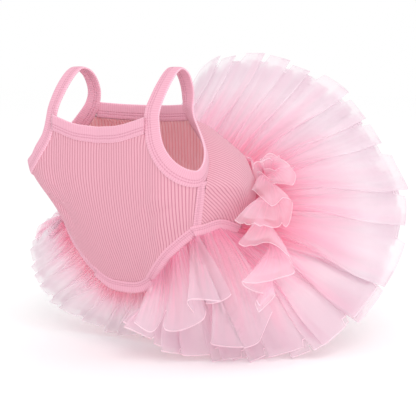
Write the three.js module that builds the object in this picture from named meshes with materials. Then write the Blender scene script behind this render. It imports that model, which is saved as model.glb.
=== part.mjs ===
// Dog tutu dress: a rib-knit bodice with two strap loops, and a gathered tulle skirt.
//
// Frame, in millimetres: +Z up, +Y towards the tail, +X the wearer's left.
// The origin is midway between the tops of the two shoulder straps.
// Every piece is a thin wall. The cloth keeps the hollow form it has when worn.

import * as THREE from 'three';

// Driving dimensions

const SEAM_GAP = 0.3;
const CORNER_GAP = 0.7;
const BAND_GAP = 1.2;
const KNIT_THICKNESS = 1.5;
const BINDING_WIDTH = 10.5;
const BINDING_THICKNESS = 2.4;
const LEG_BINDING_WIDTH = 7.5;
const SIDE_BAND_WIDTH = 5.5;
const SIDE_BAND_THICKNESS = 1.8;
const TULLE_THICKNESS = 1.0;
const TULLE_START = 2.4;

const CHEST_CROWN = 9;
const CHEST_SPREAD = 0.6;
const BACK_CROWN = 12;
const TORSO_AXIS_HEIGHT = -130;
const SIDE_REARWARD = { x: 0.2, y: 1, z: 0 };

const FAN_PLEATS = 22;
const RUFFLE_PLEATS = 9;
const PLEAT_UNEVEN = { width: 0.22, depth: 0.25, length: 0.02 };
const PLEAT_RATES = { width: 2.3, depth: 1.7, length: 3.9 };
const PLEAT_OPENING = 1.1;
const SEAM_GATHER = 0.25;
const HEM_PLEAT = 5;
const TIER_GAP_AT_SEAM = 1.5;
const TIER_GAP_AT_HEM = 6.5;
const UPPER_TIER_LENGTH = 0.965;
const LOWER_TIER_LENGTH = 0.93;

// The armhole binding's centre line and the way its face looks, round one loop from
// the front neck corner, under the arm, up the back edge and over the shoulder.

const ARMHOLE = [
  { x: 46, y: -23.5, z: -31, nx: 0.2, ny: -0.97, nz: 0.15 },
  { x: 47, y: -25, z: -40, nx: 0.25, ny: -0.96, nz: 0.1 },
  { x: 50, y: -26.2, z: -51.5, nx: 0.35, ny: -0.93, nz: 0 },
  { x: 56, y: -27, z: -61, nx: 0.5, ny: -0.86, nz: -0.1 },
  { x: 63, y: -24.8, z: -69, nx: 0.68, ny: -0.72, nz: -0.12 },
  { x: 70.5, y: -20, z: -74.2, nx: 0.85, ny: -0.5, nz: -0.14 },
  { x: 75, y: -11, z: -76, nx: 0.97, ny: -0.15, nz: -0.1 },
  { x: 74.5, y: -2.5, z: -71, nx: 0.94, ny: 0.3, nz: 0 },
  { x: 69, y: 6.5, z: -61, nx: 0.85, ny: 0.5, nz: 0.15 },
  { x: 60, y: 12.5, z: -50, nx: 0.7, ny: 0.63, nz: 0.3 },
  { x: 51, y: 15, z: -39, nx: 0.45, ny: 0.82, nz: 0.33 },
  { x: 45.5, y: 17, z: -29.5, nx: 0.2, ny: 0.95, nz: 0.2 },
  { x: 44, y: 18, z: -18, nx: 0.05, ny: 0.98, nz: 0.15 },
  { x: 44.5, y: 12.5, z: -6, nx: 0, ny: 0.75, nz: 0.66 },
  { x: 45.5, y: 2, z: -1.4, nx: 0, ny: 0, nz: 1 },
  { x: 46, y: -8.6, z: -9, nx: 0.05, ny: -0.75, nz: 0.66 },
  { x: 46, y: -18, z: -21, nx: 0.1, ny: -0.9, nz: 0.4 },
];
const ARMHOLE_STEPS = 2;
const ARMHOLE_AT = { frontNeck: 3, underArmFront: 12, underArmBack: 15, backNeck: 21 };

// The seam under each neck binding, from the middle to the wearer's left strap.

const FRONT_NECK = [
  { x: 0, y: -30, z: -53.3 },
  { x: 20, y: -30.4, z: -51.6 },
  { x: 39.6, y: -28.8, z: -46.2 },
];
const BACK_NECK = [
  { x: 0, y: 23.6, z: -39.4 },
  { x: 20, y: 23, z: -39.1 },
  { x: 39.6, y: 20, z: -38 },
];
const NECK_STEPS = 3;

// The edge that the leg binding is sewn to, from the middle of the belly to the skirt.

const BELLY_EDGE = [
  { x: 0, y: -5, z: -157.6 },
  { x: 13, y: -5.4, z: -156.8 },
  { x: 24, y: -7, z: -152 },
  { x: 33, y: -11.5, z: -143.5 },
  { x: 45, y: -13.2, z: -130.5 },
  { x: 57, y: -10.5, z: -119.6 },
  { x: 67.5, y: -6.5, z: -111 },
];
const LEG_CURVE_START = 22;
const BELLY_END_CLEARANCE = 0.8;
const BODY_MIDDLE = 30;
const LEG_BACK = { x: 71.5, y: 22, z: -108.5 };
const BACK_CORNER_ROW = 5.6;

// Where the skirt is sewn on and where its hem hangs, from the middle of the back
// down to the belly. The hem stands differently on the wearer's left and right.

const SKIRT = [
  { x: 0, y: 106, z: -90, left: [0, 201, 4], right: [0, 201, 4] },
  { x: 18, y: 105, z: -89, left: [31, 208, -8], right: [-20, 195, 8] },
  { x: 36, y: 100, z: -88, left: [57, 213, -26], right: [-43, 186, 6] },
  { x: 51, y: 91, z: -90, left: [84, 209, -53], right: [-70, 184, -8] },
  { x: 61, y: 79, z: -97, left: [112, 193, -82], right: [-92, 183, -43] },
  { x: 67, y: 64, z: -108, left: [136, 173, -114], right: [-145, 142, -104] },
  { x: 70, y: 42, z: -122, left: [136, 142, -161], right: [-163, 90, -134] },
  { x: 70, y: 8, z: -119.5, left: [119, 88, -200], right: [-150, 54, -150] },
  { x: 60, y: -4, z: -127, left: [84, 63, -212], right: [-134, 40, -172] },
  { x: 47, y: -7, z: -138, left: [61, 40, -212], right: [-108, 38, -193] },
  { x: 35, y: -6, z: -150, left: [36, 15, -208], right: [-56, 44, -208] },
  { x: 26, y: -1, z: -161, left: [11, -11, -187], right: [-6, 46, -206] },
];
const FAN_END = 5.98;
const RUFFLE_FROM = 6.02;
const RUFFLE_TO = 10.95;
const LEG_ROW = 6;

// The heights of one pleat's four corners, at parts of its width.
const PLEAT_CORNERS = [
  { part: 0.08, height: 1 },
  { part: 0.42, height: 1 },
  { part: 0.58, height: -1 },
  { part: 0.92, height: -1 },
];

// The cascade of the side frill, down the skirt from the armhole to the leg. The row and
// share columns place the edge it is sewn by, in rows of the table above and shares of
// the skirt's length; the free columns place its free edge, which stands out by height.

const CASCADE = [
  { row: 1.3, share: 0.14, freeRow: 1.25, freeShare: 0.06, height: 12 },
  { row: 1.9, share: 0.11, freeRow: 3.4, freeShare: -0.04, height: 18 },
  { row: 2.3, share: 0.14, freeRow: 3, freeShare: 0.14, height: 20 },
  { row: 2.9, share: 0.13, freeRow: 4.3, freeShare: 0.2, height: 25 },
  { row: 3.3, share: 0.09, freeRow: 4.4, freeShare: 0.1, height: 18 },
  { row: 3.6, share: 0.05, freeRow: 5.1, freeShare: -0.05, height: 25 },
  { row: 4.1, share: 0.08, freeRow: 5.2, freeShare: 0.2, height: 25 },
  { row: 4.6, share: 0.06, freeRow: 6.7, freeShare: 0.12, height: 28 },
  { row: 4.8, share: 0.03, freeRow: 7.5, freeShare: -0.04, height: 28 },
  { row: 5.1, share: 0.06, freeRow: 6.6, freeShare: 0.1, height: 20 },
  { row: 5.4, share: 0.06, freeRow: 7.5, freeShare: 0.08, height: 28 },
  { row: 5.7, share: 0.16, freeRow: 6.75, freeShare: 0.32, height: 27 },
  { row: 6.3, share: 0.27, freeRow: 6.85, freeShare: 0.45, height: 21 },
  { row: 6.8, share: 0.3, freeRow: 7.7, freeShare: 0.3, height: 27 },
  { row: 7.05, share: 0.4, freeRow: 7.25, freeShare: 0.48, height: 18 },
  { row: 7.3, share: 0.48, freeRow: 7.5, freeShare: 0.54, height: 21 },
];
const CASCADE_STEPS = 3;
const CASCADE_ROWS = 3;
const CASCADE_CLEARANCE = { seam: 3.5, hem: 19 };
const RIGHT_CASCADE = { size: 0.5, freeShareAtLeast: 0.08 };

// How finely the pieces are made.

const FRONT_ROWS = 8;
const BACK_ROWS = 7;
const BELLY_STEPS = 4;
const FAN_ROWS = 3;
const RUFFLE_ROWS = 4;
const ROW_STEP = 0.05;

// How the panels' columns spread: below the neckline they draw in towards the belly,
// and near the leg the back panel's columns follow the leg binding.

const FRONT_TAPER = 0.72;
const LEG_EDGE_SHARE = 0.3;

// The dress stands a little askew: above the chest line the wearer's right side is
// wider and further forward than the left, and below it narrower.

const ASKEW = { chestHeight: -75, span: 35, topWidth: 1.05, lowWidth: 0.92, forward: 0.08 };

// Materials

function cloth(color, roughness) {
  return new THREE.MeshStandardMaterial({ color, roughness, metalness: 0 });
}

const ribKnit = cloth(0xf0a9c4, 0.9);
const smoothBinding = cloth(0xf3a3c2, 0.8);
const tulle = cloth(0xf9c3d8, 0.7);

// Geometry helpers

function at(entry) {
  return new THREE.Vector3(entry.x, entry.y, entry.z);
}

function mix(a, b, t) {
  return a.clone().lerp(b, t);
}

// The point on the wearer's right that matches one on the left.
function mirrored(point) {
  const { chestHeight, span, topWidth, lowWidth, forward } = ASKEW;
  const low = THREE.MathUtils.smoothstep(chestHeight - point.z, 0, span);
  const width = THREE.MathUtils.lerp(topWidth, lowWidth, low);
  return new THREE.Vector3(-point.x * width, point.y - forward * (1 - low) * point.x, point.z);
}

// A smooth curve that passes entry i of a table at parameter i.
function tableCurve(points, closed = false) {
  const curve = new THREE.CatmullRomCurve3(points, closed, 'catmullrom', 0.5);
  const spans = closed ? points.length : points.length - 1;
  return (i) => curve.getPoint(closed ? (((i / spans) % 1) + 1) % 1 : i / spans);
}

function lengthsAlong(points) {
  const lengths = [0];
  for (let i = 1; i < points.length; i += 1) {
    lengths.push(lengths[i - 1] + points[i].distanceTo(points[i - 1]));
  }
  return lengths.map((value) => value / lengths[lengths.length - 1]);
}

function pointAtLength(points, lengths, wanted) {
  let i = 1;
  while (i < lengths.length - 1 && lengths[i] < wanted) {
    i += 1;
  }
  const part = (wanted - lengths[i - 1]) / (lengths[i] - lengths[i - 1]);
  return mix(points[i - 1], points[i], part);
}

function sampled(table, steps) {
  const curve = tableCurve(table.map(at));
  const count = (table.length - 1) * steps;
  return Array.from({ length: count + 1 }, (unused, i) => curve(i / steps));
}

// Runs a half edge, given from the middle to the left, over both halves.
function bothHalves(half) {
  return [...half.slice(1).reverse().map(mirrored), ...half];
}

// The outward normal of each point of a grid of columns.
function gridNormals(grid, closed) {
  const columns = grid.length;
  const rows = grid[0].length;
  return grid.map((column, i) => column.map((point, j) => {
    const before = closed ? grid[(i + columns - 1) % columns][j] : grid[Math.max(i - 1, 0)][j];
    const after = closed ? grid[(i + 1) % columns][j] : grid[Math.min(i + 1, columns - 1)][j];
    const across = after.clone().sub(before);
    const down = column[Math.min(j + 1, rows - 1)].clone().sub(column[Math.max(j - 1, 0)]);
    return across.cross(down).normalize();
  }));
}

// A closed solid between two grids of columns with the same counts.
function solidBetween(outer, inner, closed) {
  const columns = outer.length;
  const rows = outer[0].length;
  const positions = [];
  for (const grid of [outer, inner]) {
    for (const column of grid) {
      for (const point of column) {
        positions.push(point.x, point.y, point.z);
      }
    }
  }
  const outside = (i, j) => (i % columns) * rows + j;
  const inside = (i, j) => outside(i, j) + columns * rows;
  const indices = [];
  const quad = (a, b, c, d) => indices.push(a, b, c, a, c, d);
  const spans = closed ? columns : columns - 1;
  for (let i = 0; i < spans; i += 1) {
    for (let j = 0; j < rows - 1; j += 1) {
      quad(outside(i, j), outside(i + 1, j), outside(i + 1, j + 1), outside(i, j + 1));
      quad(inside(i, j), inside(i, j + 1), inside(i + 1, j + 1), inside(i + 1, j));
    }
    const last = rows - 1;
    quad(outside(i, 0), inside(i, 0), inside(i + 1, 0), outside(i + 1, 0));
    quad(outside(i, last), outside(i + 1, last), inside(i + 1, last), inside(i, last));
  }
  if (!closed) {
    const last = columns - 1;
    for (let j = 0; j < rows - 1; j += 1) {
      quad(outside(0, j), outside(0, j + 1), inside(0, j + 1), inside(0, j));
      quad(outside(last, j), inside(last, j), inside(last, j + 1), outside(last, j + 1));
    }
  }
  const geometry = new THREE.BufferGeometry();
  geometry.setAttribute('position', new THREE.Float32BufferAttribute(positions, 3));
  geometry.setIndex(indices);
  return geometry;
}

// A wall of cloth whose outer face is the grid.
function wall(grid, thickness, closed = false) {
  const normals = gridNormals(grid, closed);
  const inner = grid.map((column, i) => column.map(
    (point, j) => point.clone().addScaledVector(normals[i][j], -thickness),
  ));
  return solidBetween(grid, inner, closed);
}

// A flat tape of cloth: its near edge runs along the line, its width lies across it,
// and its face looks along the normals, each of which is along x across.
function tape({ line, across, normals }, widthAt, thickness, closed = false) {
  const edge = (i, offset, depth) => line[i].clone()
    .addScaledVector(across[i], offset)
    .addScaledVector(normals[i], depth);
  const face = (depth) => line.map((point, i) => [edge(i, 0, depth), edge(i, widthAt(i), depth)]);
  return solidBetween(face(thickness / 2), face(-thickness / 2), closed);
}

function mirroredGeometry(geometry) {
  const copy = geometry.clone();
  const position = copy.getAttribute('position');
  for (let i = 0; i < position.count; i += 1) {
    const { x, y, z } = mirrored(new THREE.Vector3().fromBufferAttribute(position, i));
    position.setXYZ(i, x, y, z);
  }
  const index = copy.getIndex();
  for (let i = 0; i < index.count; i += 3) {
    const second = index.getX(i + 1);
    index.setX(i + 1, index.getX(i + 2));
    index.setX(i + 2, second);
  }
  return copy;
}

// The armhole loop, from which the straps, the armhole bindings and the panels' edges
// are all made.

function armholeLoop() {
  const centre = tableCurve(ARMHOLE.map(at), true);
  const face = tableCurve(ARMHOLE.map((e) => new THREE.Vector3(e.nx, e.ny, e.nz)), true);
  const step = 1 / ARMHOLE_STEPS;
  const loop = { line: [], across: [], normals: [], seam: [] };
  for (let i = 0; i < ARMHOLE.length * ARMHOLE_STEPS; i += 1) {
    const along = centre((i + 0.5) * step).sub(centre((i - 0.5) * step)).normalize();
    const across = face(i * step).cross(along).normalize();
    loop.across.push(across);
    loop.normals.push(along.clone().cross(across));
    loop.line.push(centre(i * step).addScaledVector(across, -BINDING_WIDTH / 2));
    loop.seam.push(centre(i * step).addScaledVector(across, -BINDING_WIDTH / 2 - CORNER_GAP));
  }
  return loop;
}

const armhole = armholeLoop();

function armholeSeam(from, to) {
  const step = Math.sign(to - from);
  const count = Math.abs(to - from) + 1;
  return Array.from({ length: count }, (unused, i) => armhole.seam[from + i * step].clone());
}

// The front panel hangs between the neckline and armholes above and the belly edge
// and leg curves below, with a crown over the chest.

function frontPanelHalf() {
  const neck = sampled(FRONT_NECK, NECK_STEPS);
  const top = [...neck, ...armholeSeam(ARMHOLE_AT.frontNeck, ARMHOLE_AT.underArmFront)];
  const bottom = sampled(BELLY_EDGE, BELLY_STEPS);
  const lengths = lengthsAlong(bottom);
  const halfWidth = top[top.length - 1].x;
  return top.map((start) => {
    const share = start.x / halfWidth;
    const end = pointAtLength(bottom, lengths, share * (FRONT_TAPER + (1 - FRONT_TAPER) * share));
    const crown = CHEST_CROWN * (1 - share ** 3);
    const outward = new THREE.Vector3(CHEST_SPREAD * share, -1, 0).normalize();
    return Array.from({ length: FRONT_ROWS + 1 }, (unused, j) => {
      const t = j / FRONT_ROWS;
      return mix(start, end, t).addScaledVector(outward, crown * Math.sin(Math.PI * t));
    });
  });
}

const frontHalf = frontPanelHalf();

// The side band is a smooth tape sewn down the side between the two panels.

function sideBand() {
  const sideSeam = frontHalf[frontHalf.length - 1];
  const down = sideSeam[FRONT_ROWS].clone().sub(sideSeam[0]).normalize();
  const rearward = new THREE.Vector3(SIDE_REARWARD.x, SIDE_REARWARD.y, SIDE_REARWARD.z);
  const across = rearward.addScaledVector(down, -rearward.dot(down)).normalize();
  const normal = down.clone().cross(across);
  const line = sideSeam.map((point) => point.clone()
    .addScaledVector(across, BAND_GAP)
    .addScaledVector(normal, -KNIT_THICKNESS / 2));
  const rear = sideSeam.map((point) => point.clone()
    .addScaledVector(across, SIDE_BAND_WIDTH + BAND_GAP + CORNER_GAP));
  return { line, across: line.map(() => across), normals: line.map(() => normal), rear };
}

const band = sideBand();

// The back panel runs from the back neckline, armholes and side bands to the skirt,
// and its lower edges run along the leg bindings.

const skirtSeamCurve = tableCurve(bothHalves(SKIRT.map(at)));

function skirtSeam(row) {
  return skirtSeamCurve(row + SKIRT.length - 1);
}

function backPanelHalf() {
  const neck = sampled(BACK_NECK, NECK_STEPS);
  const underArm = armholeSeam(ARMHOLE_AT.backNeck, ARMHOLE_AT.underArmBack);
  const start = [...neck, ...underArm, ...band.rear.filter((point, i) => i % 2 === 0)];
  const lengths = lengthsAlong(start);
  const corner = start[start.length - 1];
  const lower = tableCurve([corner, at(LEG_BACK), skirtSeam(BACK_CORNER_ROW)]);
  return start.map((from, i) => {
    const to = skirtSeam(lengths[i] * BACK_CORNER_ROW);
    const nearLeg = Math.max(0, 1 - (1 - lengths[i]) / LEG_EDGE_SHARE) ** 2;
    return Array.from({ length: BACK_ROWS + 1 }, (unused, j) => {
      const t = j / BACK_ROWS;
      const point = mix(from, to, t);
      const outward = new THREE.Vector3(point.x, 0, point.z - TORSO_AXIS_HEIGHT).normalize();
      const legBend = lower(2 * t).sub(mix(corner, skirtSeam(BACK_CORNER_ROW), t));
      return point
        .addScaledVector(outward, BACK_CROWN * Math.sin(Math.PI * t) * (1 - nearLeg))
        .addScaledVector(legBend, nearLeg);
    });
  });
}

const backHalf = backPanelHalf();

// A whole panel from its left half; the columns run from the wearer's right to left.
function wholePanel(half) {
  return [...half.slice(1).reverse().map((column) => column.map(mirrored)), ...half];
}

// A neck binding stands on a panel's top edge, between the two strap loops.
function neckBinding(table) {
  const line = bothHalves(sampled(table, NECK_STEPS));
  if (table[0].y > 0) {
    line.reverse();
  }
  const facing = Math.sign(table[0].y);
  return {
    line: line.map((point) => point.add(new THREE.Vector3(0, 0, SEAM_GAP))),
    across: line.map(() => new THREE.Vector3(0, 0, 1)),
    normals: line.map(() => new THREE.Vector3(0, facing, 0)),
  };
}

// A binding sewn below an edge of the body. The edge's points run so that along x
// down looks outward.
function bindingBelow(points) {
  const binding = { line: [], across: [], normals: [] };
  points.forEach((point, i) => {
    const before = points[Math.max(i - 1, 0)];
    const after = points[Math.min(i + 1, points.length - 1)];
    const along = after.clone().sub(before).normalize();
    const outward = new THREE.Vector3(point.x, point.y - BODY_MIDDLE, 0);
    const across = outward.cross(along).normalize();
    const normal = along.cross(across).normalize();
    binding.line.push(point.clone()
      .addScaledVector(across, CORNER_GAP)
      .addScaledVector(normal, -KNIT_THICKNESS / 2));
    binding.across.push(across);
    binding.normals.push(normal);
  });
  return binding;
}

const frontBottom = frontHalf.map((column) => column[FRONT_ROWS]);
const legCorner = frontBottom.findIndex((point) => point.x > LEG_CURVE_START);

// The edge that the leg binding is sewn to: the back panel's lower edge from the
// skirt, then the front panel's leg curve to the belly.
function legEdge() {
  const back = backHalf[backHalf.length - 1].slice(0, BACK_ROWS);
  return [...frontBottom.slice(legCorner), ...back].reverse();
}

// The belly edge stops just short of the two leg bindings.
function bellyEdge() {
  const half = frontBottom.slice(0, legCorner + 1);
  const corner = half[legCorner];
  const inward = half[legCorner - 1].clone().sub(corner).normalize();
  half[legCorner] = corner.clone().addScaledVector(inward, BELLY_END_CLEARANCE);
  return bothHalves(half).reverse();
}

// The skirt. Its rows run from the wearer's right, below zero, to the left, with row 0
// at the middle of the back.

const lastRow = SKIRT.length - 1;
const skirtHem = tableCurve([
  ...SKIRT.slice(1).reverse().map((entry) => new THREE.Vector3(...entry.right)),
  ...SKIRT.map((entry) => new THREE.Vector3(...entry.left)),
]);

// The leg binding, along whose lower edge the rows past the leg row are sewn.
const legBinding = bindingBelow(legEdge());
const legLine = legBinding.line.map((point, i) => point.clone()
  .addScaledVector(legBinding.across[i], LEG_BINDING_WIDTH));
const legLengths = lengthsAlong(legLine);

function sewnEdge(row) {
  const beyond = Math.abs(row) - LEG_ROW;
  if (beyond <= 0) {
    return skirtSeam(row);
  }
  const point = pointAtLength(legLine, legLengths, beyond / (lastRow - LEG_ROW));
  return row < 0 ? mirrored(point) : point;
}

// A point of the skirt before it is pleated, at a part of its length.
function skirtBase(row, share) {
  return mix(sewnEdge(row), skirtHem(row + lastRow), share);
}

// The way the skirt's upper face looks.
function skirtNormal(row, share) {
  const across = skirtBase(row + ROW_STEP, share).sub(skirtBase(row - ROW_STEP, share));
  const outward = skirtBase(row, 1).sub(skirtBase(row, 0));
  return across.cross(outward).normalize();
}

// A steady but irregular variation from one pleat to the next.
function wave(k, rate) {
  return Math.sin(rate * k + rate / 3);
}

// A gathered tier of tulle between two rows of the table. Its pleats lie side by side,
// uneven in width and depth.
function tier({ from, to, pleats, rows, lift, end }) {
  const uneven = PLEAT_UNEVEN;
  const rates = PLEAT_RATES;
  const widths = Array.from(
    { length: pleats },
    (unused, k) => 1 + uneven.width * wave(k, rates.width),
  );
  const total = widths.reduce((sum, value) => sum + value, 0);
  const columns = [];
  let used = 0;
  widths.forEach((width, k) => {
    const depth = 1 + uneven.depth * wave(k, rates.depth);
    const length = end * (1 + uneven.length * wave(k, rates.length));
    for (const corner of PLEAT_CORNERS) {
      const row = from + ((to - from) * (used + corner.part * width)) / total;
      columns.push({ row, length, height: corner.height * depth });
    }
    used += width;
  });
  return columns.map(({ row, length, height }) => Array.from({ length: rows + 1 }, (none, j) => {
    const t = j / rows;
    const first = TULLE_START / skirtBase(row, 0).distanceTo(skirtBase(row, 1));
    const share = first + (length - first) * t;
    const pleat = height * (SEAM_GATHER + (HEM_PLEAT - SEAM_GATHER) * t ** PLEAT_OPENING);
    const offset = lift * (TIER_GAP_AT_SEAM + (TIER_GAP_AT_HEM - TIER_GAP_AT_SEAM) * t);
    return skirtBase(row, share).addScaledVector(skirtNormal(row, share), pleat + offset);
  }));
}

// A point beside the skirt, this far out from its upper face.
function beside(row, share, height) {
  return skirtBase(row, share).addScaledVector(skirtNormal(row, share), height);
}

// The side frill falls down the skirt in folds that swing to and fro.
function cascade(sign) {
  const rooted = tableCurve(CASCADE.map((e) => new THREE.Vector3(e.row, e.share, 0)));
  const free = tableCurve(CASCADE.map(
    (e) => new THREE.Vector3(e.freeRow, e.freeShare, e.height),
  ));
  const steps = (CASCADE.length - 1) * CASCADE_STEPS;
  const size = sign > 0 ? 1 : RIGHT_CASCADE.size;
  const leastShare = sign > 0 ? -1 : RIGHT_CASCADE.freeShareAtLeast;
  const { seam, hem } = CASCADE_CLEARANCE;
  return Array.from({ length: steps + 1 }, (unused, i) => {
    const root = rooted(i / CASCADE_STEPS);
    const edge = free(i / CASCADE_STEPS);
    const clear = seam + (hem - seam) * root.y;
    const from = beside(sign * root.x, root.y, clear);
    const to = beside(sign * edge.x, Math.max(edge.y, leastShare), edge.z);
    return Array.from({ length: CASCADE_ROWS + 1 }, (none, j) => (
      mix(from, to, (size * j) / CASCADE_ROWS)
    ));
  });
}

// The dress

const dress = new THREE.Group();

function add(name, geometry, material) {
  const mesh = new THREE.Mesh(geometry, material);
  mesh.name = name;
  dress.add(mesh);
}

function addPair(name, geometry, material) {
  add(`${name}_left`, geometry, material);
  add(`${name}_right`, mirroredGeometry(geometry), material);
}

function addBinding(name, binding, width = BINDING_WIDTH) {
  add(name, tape(binding, () => width, BINDING_THICKNESS), smoothBinding);
}

add('front_panel', wall(wholePanel(frontHalf).reverse(), KNIT_THICKNESS), ribKnit);
add('back_panel', wall(wholePanel(backHalf), KNIT_THICKNESS), ribKnit);
addBinding('neck_binding_front', neckBinding(FRONT_NECK));
addBinding('neck_binding_back', neckBinding(BACK_NECK));
addBinding('belly_binding', bindingBelow(bellyEdge()), LEG_BINDING_WIDTH);
addPair(
  'armhole_binding',
  tape(armhole, () => BINDING_WIDTH, BINDING_THICKNESS, true),
  smoothBinding,
);
addPair('side_band', tape(band, () => SIDE_BAND_WIDTH, SIDE_BAND_THICKNESS), smoothBinding);
addPair(
  'leg_binding',
  tape(legBinding, () => LEG_BINDING_WIDTH, BINDING_THICKNESS),
  smoothBinding,
);

const fan = { from: -FAN_END, to: FAN_END, pleats: FAN_PLEATS, rows: FAN_ROWS };
const ruffle = { pleats: RUFFLE_PLEATS, rows: RUFFLE_ROWS, lift: 0, end: 1 };
add(
  'tutu_tier_upper',
  wall(tier({ ...fan, lift: 1, end: UPPER_TIER_LENGTH }), TULLE_THICKNESS),
  tulle,
);
add(
  'tutu_tier_lower',
  wall(tier({ ...fan, lift: -1, end: LOWER_TIER_LENGTH }), TULLE_THICKNESS),
  tulle,
);
add(
  'leg_ruffle_left',
  wall(tier({ ...ruffle, from: RUFFLE_FROM, to: RUFFLE_TO }), TULLE_THICKNESS),
  tulle,
);
add(
  'leg_ruffle_right',
  wall(tier({ ...ruffle, from: -RUFFLE_TO, to: -RUFFLE_FROM }), TULLE_THICKNESS),
  tulle,
);
add('side_frill_left', wall(cascade(1), TULLE_THICKNESS), tulle);
add('side_frill_right', wall(cascade(-1).reverse(), TULLE_THICKNESS), tulle);

export default dress;
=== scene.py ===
"""Looks of the dog tutu dress: rib-knit bodice, smooth bindings and a gathered tulle skirt.

Tables and functions work in millimetres in the part's own frame: +Z up, +Y towards the
tail, +X the wearer's left. Meshes are made in metres.
"""

import math

import bpy
import numpy as np
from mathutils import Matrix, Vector


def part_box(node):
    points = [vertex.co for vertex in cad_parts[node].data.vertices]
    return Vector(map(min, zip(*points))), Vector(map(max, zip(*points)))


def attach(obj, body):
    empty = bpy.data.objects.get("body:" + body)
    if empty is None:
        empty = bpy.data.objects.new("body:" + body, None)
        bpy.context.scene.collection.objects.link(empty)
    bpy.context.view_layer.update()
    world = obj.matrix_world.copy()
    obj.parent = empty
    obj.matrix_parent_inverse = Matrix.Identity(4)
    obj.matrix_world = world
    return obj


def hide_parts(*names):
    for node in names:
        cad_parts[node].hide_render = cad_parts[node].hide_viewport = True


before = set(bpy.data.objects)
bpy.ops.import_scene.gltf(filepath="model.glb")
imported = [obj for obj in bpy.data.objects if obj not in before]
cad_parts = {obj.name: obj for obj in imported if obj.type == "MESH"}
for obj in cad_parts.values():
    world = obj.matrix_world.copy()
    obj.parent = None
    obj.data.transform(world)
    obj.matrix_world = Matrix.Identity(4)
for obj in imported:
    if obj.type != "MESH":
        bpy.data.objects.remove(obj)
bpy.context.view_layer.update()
MM = 0.001

# Sizes shared with the part

SEAM_GAP = 0.3
CORNER_GAP = 0.7
BAND_GAP = 1.2
KNIT_THICKNESS = 1.5
BINDING_WIDTH = 10.5
BINDING_THICKNESS = 2.4
LEG_BINDING_WIDTH = 7.5
SIDE_BAND_WIDTH = 5.5
SIDE_BAND_THICKNESS = 1.8
CHEST_CROWN = 9
CHEST_SPREAD = 0.6
BACK_CROWN = 12
TORSO_AXIS_HEIGHT = -130
FRONT_TAPER = 0.72
LEG_EDGE_SHARE = 0.3
LEG_CURVE_START = 22
BODY_MIDDLE = 30
SIDE_REARWARD = (0.2, 1, 0)
LEG_BACK = (71.5, 22, -108.5)
BACK_CORNER_ROW = 5.6
FRONT_ROWS = 8
BACK_ROWS = 7
BELLY_STEPS = 4
NECK_STEPS = 3
ARMHOLE_STEPS = 2
ROW_STEP = 0.05
ARMHOLE_AT = {"front_neck": 3, "under_arm_front": 12, "under_arm_back": 15, "back_neck": 21}
ASKEW = {"chest": -75, "span": 35, "top_width": 1.05, "low_width": 0.92, "forward": 0.08}

# The armhole's binding: x, y, z of its middle, and the way its face looks
ARMHOLE = (
    (46, -23.5, -31, 0.2, -0.97, 0.15),
    (47, -25, -40, 0.25, -0.96, 0.1),
    (50, -26.2, -51.5, 0.35, -0.93, 0),
    (56, -27, -61, 0.5, -0.86, -0.1),
    (63, -24.8, -69, 0.68, -0.72, -0.12),
    (70.5, -20, -74.2, 0.85, -0.5, -0.14),
    (75, -11, -76, 0.97, -0.15, -0.1),
    (74.5, -2.5, -71, 0.94, 0.3, 0),
    (69, 6.5, -61, 0.85, 0.5, 0.15),
    (60, 12.5, -50, 0.7, 0.63, 0.3),
    (51, 15, -39, 0.45, 0.82, 0.33),
    (45.5, 17, -29.5, 0.2, 0.95, 0.2),
    (44, 18, -18, 0.05, 0.98, 0.15),
    (44.5, 12.5, -6, 0, 0.75, 0.66),
    (45.5, 2, -1.4, 0, 0, 1),
    (46, -8.6, -9, 0.05, -0.75, 0.66),
    (46, -18, -21, 0.1, -0.9, 0.4),
)
# Seams and edges from the middle to the wearer's left: x, y, z
FRONT_NECK = ((0, -30, -53.3), (20, -30.4, -51.6), (39.6, -28.8, -46.2))
BACK_NECK = ((0, 23.6, -39.4), (20, 23, -39.1), (39.6, 20, -38))
BELLY_EDGE = (
    (0, -5, -157.6),
    (13, -5.4, -156.8),
    (24, -7, -152),
    (33, -11.5, -143.5),
    (45, -13.2, -130.5),
    (57, -10.5, -119.6),
    (67.5, -6.5, -111),
)
# The skirt's seam, and its hem on the wearer's left and right, from the middle of the back.
# Past the leg row, the skirt is sewn to the leg binding instead of this seam.
SKIRT = (
    ((0, 106, -90), (0, 201, 4), (0, 201, 4)),
    ((18, 105, -89), (31, 208, -8), (-20, 195, 8)),
    ((36, 100, -88), (57, 213, -26), (-43, 186, 6)),
    ((51, 91, -90), (84, 209, -53), (-70, 184, -8)),
    ((61, 79, -97), (112, 193, -82), (-92, 183, -43)),
    ((67, 64, -108), (136, 173, -114), (-145, 142, -104)),
    ((70, 42, -122), (136, 142, -161), (-163, 90, -134)),
    ((70, 8, -119.5), (119, 88, -200), (-150, 54, -150)),
    ((60, -4, -127), (84, 63, -212), (-134, 40, -172)),
    ((47, -7, -138), (61, 40, -212), (-108, 38, -193)),
    ((35, -6, -150), (36, 15, -208), (-56, 44, -208)),
    ((26, -1, -161), (11, -11, -187), (-6, 46, -206)),
)
LAST_ROW = len(SKIRT) - 1
LEG_ROW = 6

# How far the ends of the tapes pass under their neighbours
TUCK = 2.5
BELLY_TUCK = 3.0
LEG_TUCKS = (5.0, 1.5)

# Curves and surfaces


def smooth_step(x):
    x = np.clip(x, 0, 1)
    return x * x * (3 - 2 * x)


def unit(v):
    return v / np.maximum(np.linalg.norm(v, axis=-1, keepdims=True), 1e-9)


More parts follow.
